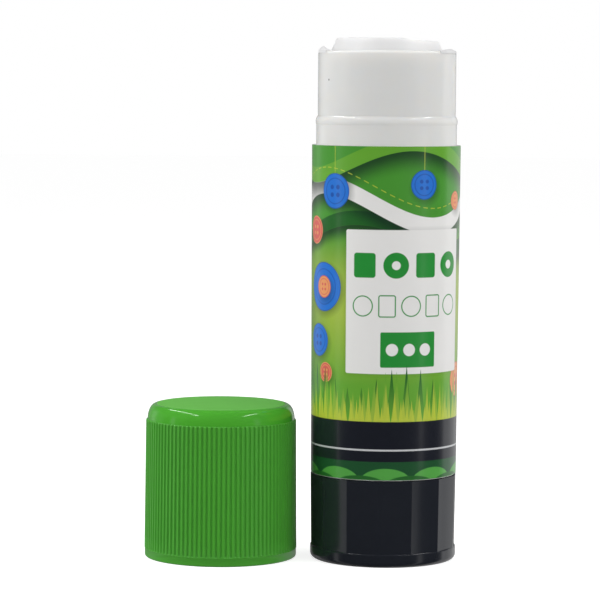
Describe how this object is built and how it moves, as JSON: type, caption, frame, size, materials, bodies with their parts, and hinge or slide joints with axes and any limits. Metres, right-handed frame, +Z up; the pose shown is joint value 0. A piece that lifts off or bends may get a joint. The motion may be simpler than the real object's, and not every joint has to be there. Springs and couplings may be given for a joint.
{
  "type": "glue stick",
  "caption": "Twist-up glue stick: a faceted knob and screw raise the glue in a sleeved milky tube, with a ribbed pull-off cap standing beside it.",
  "frame": {"origin": "middle of the knob's underside, on the axis of the stick", "axes": "+Z up the stick towards its mouth, -Y towards the front of the label; the cap stands on the -X side"},
  "size_m": [0.0543, 0.0265, 0.09],
  "materials": {
    "knob_black": "moulded black plastic with a soft gloss",
    "natural_plastic": "milky translucent plastic, satin",
    "label_film": "glossy printed film",
    "inner_plastic": "natural white moulded plastic",
    "glue_stick": "waxy white solid adhesive",
    "cap_green": "moulded green plastic with a soft gloss"
  },
  "bodies": {
    "barrel": {"tube": "natural_plastic", "label": "label_film"},
    "knob": {"knob": "knob_black", "spindle": "inner_plastic"},
    "carrier": {"carrier": "inner_plastic", "glue": "glue_stick"},
    "cap": {"cap": "cap_green"}
  },
  "joints": [
    {"name": "knob_turn", "type": "hinge", "parent": "barrel", "child": "knob", "pos_m": [0, 0, 0.01], "axis": [0, 0, 1], "range_deg": [-180, 3450]},
    {"name": "carrier_slide", "type": "slide", "parent": "barrel", "child": "carrier", "axis": [0, 0, 1], "range_m": [-0.00252, 0.048]},
    {"name": "cap_lift", "type": "slide", "parent": "barrel", "child": "cap", "axis": [0, 0, 1], "range_m": [0, 0.1]}
  ],
  "couplings": [
    {"joint": "carrier_slide", "follows": "knob_turn", "m_per_rad": 0.00079577}
  ]
}
